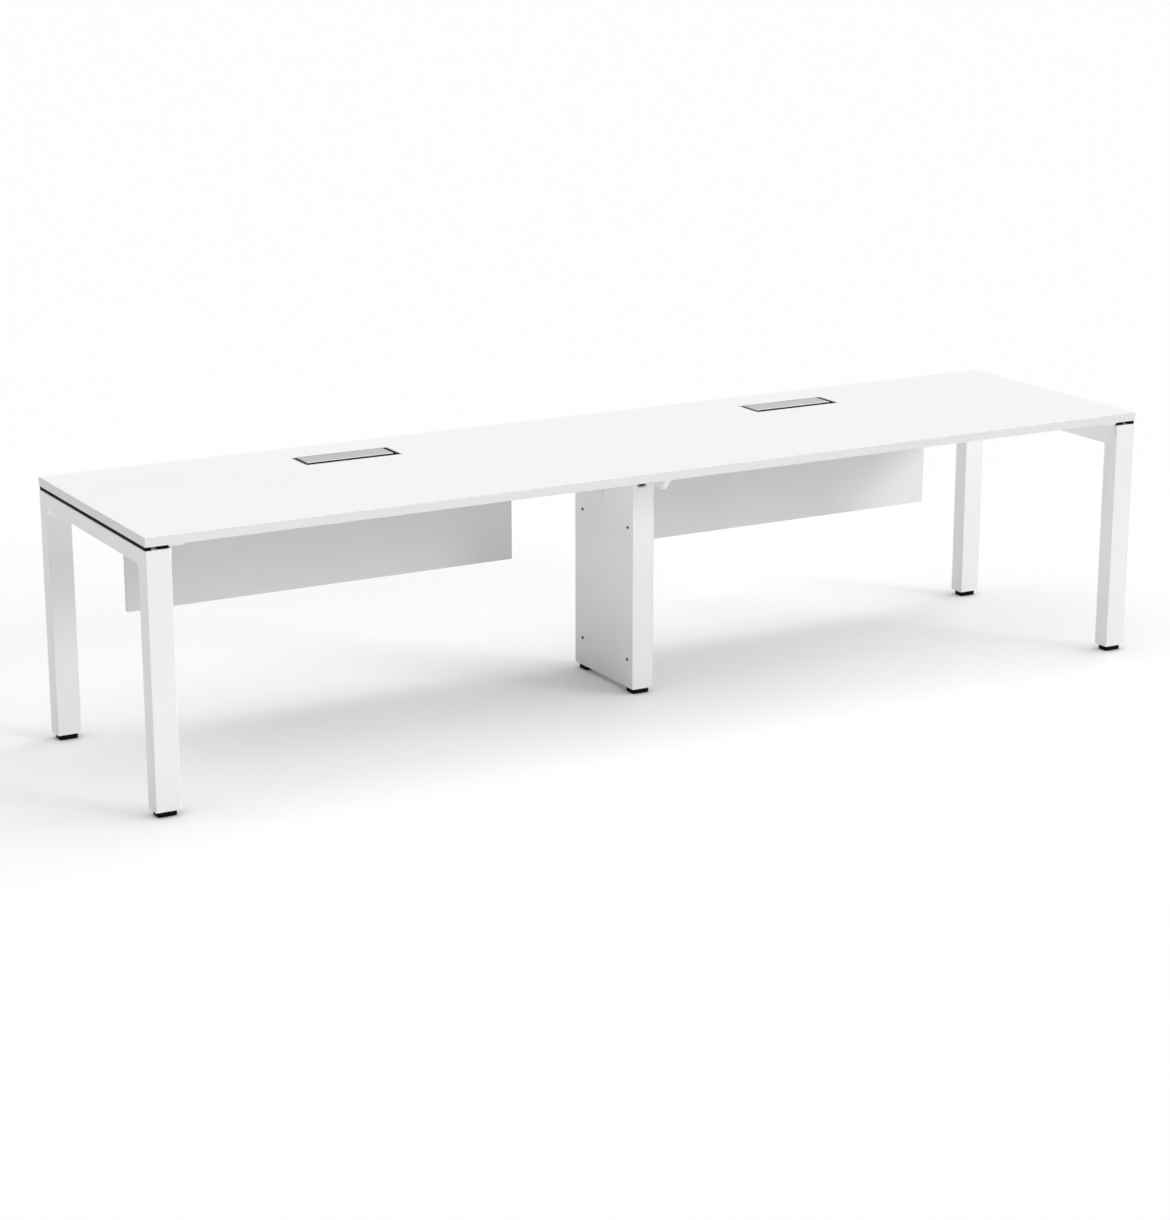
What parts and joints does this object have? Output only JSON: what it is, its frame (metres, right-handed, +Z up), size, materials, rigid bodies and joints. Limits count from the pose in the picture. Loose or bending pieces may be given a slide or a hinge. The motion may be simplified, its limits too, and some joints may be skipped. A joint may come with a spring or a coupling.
{
  "type": "linear office desk",
  "caption": "Long white office desk with a straight desktop on tube end frames and a box middle leg, hanging modesty panels and hinged cable flaps in the top.",
  "frame": {"origin": "on the floor under the middle of the desktop", "axes": "+X along the desk to the sitter's right, +Y away from the sitter, +Z up"},
  "size_m": [3.2, 0.8, 0.75],
  "materials": {
    "laminate": "white melamine laminate, satin with a fine pore texture",
    "edge_strip": "white plastic edge strip, satin",
    "panel_board": "white melamine board, satin",
    "powder_coat": "white powder coat with a slight orange peel",
    "black_plastic": "moulded black plastic, fine texture",
    "brush": "black nylon bristle",
    "grey_nylon": "natural nylon",
    "anodised_aluminium": "brushed and anodised",
    "black_steel": "blackened steel",
    "zinc_steel": "bright zinc plate"
  },
  "bodies": {
    "desk": {"beam_end_plates": "powder_coat", "beam_pads": "black_plastic", "corner_webs": "powder_coat", "crossbar_aprons": "powder_coat", "desktop": "laminate", "foot_plugs": "black_plastic", "frame_bolts": "zinc_steel", "front_edge_band": "edge_strip", "left_brush_strip": "brush", "left_cable_tray": "powder_coat", "left_crossbar": "powder_coat", "left_edge_band": "edge_strip", "left_flap_frame": "anodised_aluminium", "left_flap_well": "black_plastic", "left_front_beam": "powder_coat", "left_front_leg": "powder_coat", "left_modesty_panel": "panel_board", "left_rear_beam": "powder_coat", "left_rear_leg": "powder_coat", "left_spacer_rail": "black_plastic", "leg_spacers": "grey_nylon", "leg_top_caps": "powder_coat", "mid_bottom_rail": "powder_coat", "mid_cable_grommet": "grey_nylon", "mid_cover_screws": "black_steel", "mid_front_arm": "powder_coat", "mid_front_post": "powder_coat", "mid_left_cover": "powder_coat", "mid_rail_cap": "black_plastic", "mid_rear_post": "powder_coat", "mid_right_cover": "powder_coat", "mid_spacer_rail": "black_plastic", "mid_top_rail": "powder_coat", "panel_brackets": "powder_coat", "panel_screws": "zinc_steel", "rear_edge_band": "edge_strip", "right_brush_strip": "brush", "right_cable_tray": "powder_coat", "right_crossbar": "powder_coat", "right_edge_band": "edge_strip", "right_flap_frame": "anodised_aluminium", "right_flap_well": "black_plastic", "right_front_beam": "powder_coat", "right_front_leg": "powder_coat", "right_modesty_panel": "panel_board", "right_rear_beam": "powder_coat", "right_rear_leg": "powder_coat", "right_spacer_rail": "black_plastic", "top_lugs": "powder_coat", "top_screws": "zinc_steel"},
    "left_flap": {"left_flap_lid": "anodised_aluminium", "left_hinge_pins": "zinc_steel"},
    "right_flap": {"right_flap_lid": "anodised_aluminium", "right_hinge_pins": "zinc_steel"},
    "left_front_leveller": {"left_front_foot": "black_plastic"},
    "left_rear_leveller": {"left_rear_foot": "black_plastic"},
    "right_front_leveller": {"right_front_foot": "black_plastic"},
    "right_rear_leveller": {"right_rear_foot": "black_plastic"},
    "mid_front_leveller": {"mid_front_foot": "black_plastic"},
    "mid_rear_leveller": {"mid_rear_foot": "black_plastic"}
  },
  "joints": [
    {"name": "left_flap_hinge", "type": "hinge", "parent": "desk", "child": "left_flap", "pos_m": [-0.7495, 0.265, 0.744], "axis": [-1, 0, 0], "range_deg": [0, 100]},
    {"name": "right_flap_hinge", "type": "hinge", "parent": "desk", "child": "right_flap", "pos_m": [0.7495, 0.265, 0.744], "axis": [-1, 0, 0], "range_deg": [0, 100]},
    {"name": "left_front_foot_screw", "type": "slide", "parent": "desk", "child": "left_front_leveller", "axis": [0, 0, -1], "range_m": [0, 0.015]},
    {"name": "left_rear_foot_screw", "type": "slide", "parent": "desk", "child": "left_rear_leveller", "axis": [0, 0, -1], "range_m": [0, 0.015]},
    {"name": "right_front_foot_screw", "type": "slide", "parent": "desk", "child": "right_front_leveller", "axis": [0, 0, -1], "range_m": [0, 0.015]},
    {"name": "right_rear_foot_screw", "type": "slide", "parent": "desk", "child": "right_rear_leveller", "axis": [0, 0, -1], "range_m": [0, 0.015]},
    {"name": "mid_front_foot_screw", "type": "slide", "parent": "desk", "child": "mid_front_leveller", "axis": [0, 0, -1], "range_m": [0, 0.015]},
    {"name": "mid_rear_foot_screw", "type": "slide", "parent": "desk", "child": "mid_rear_leveller", "axis": [0, 0, -1], "range_m": [0, 0.015]}
  ]
}
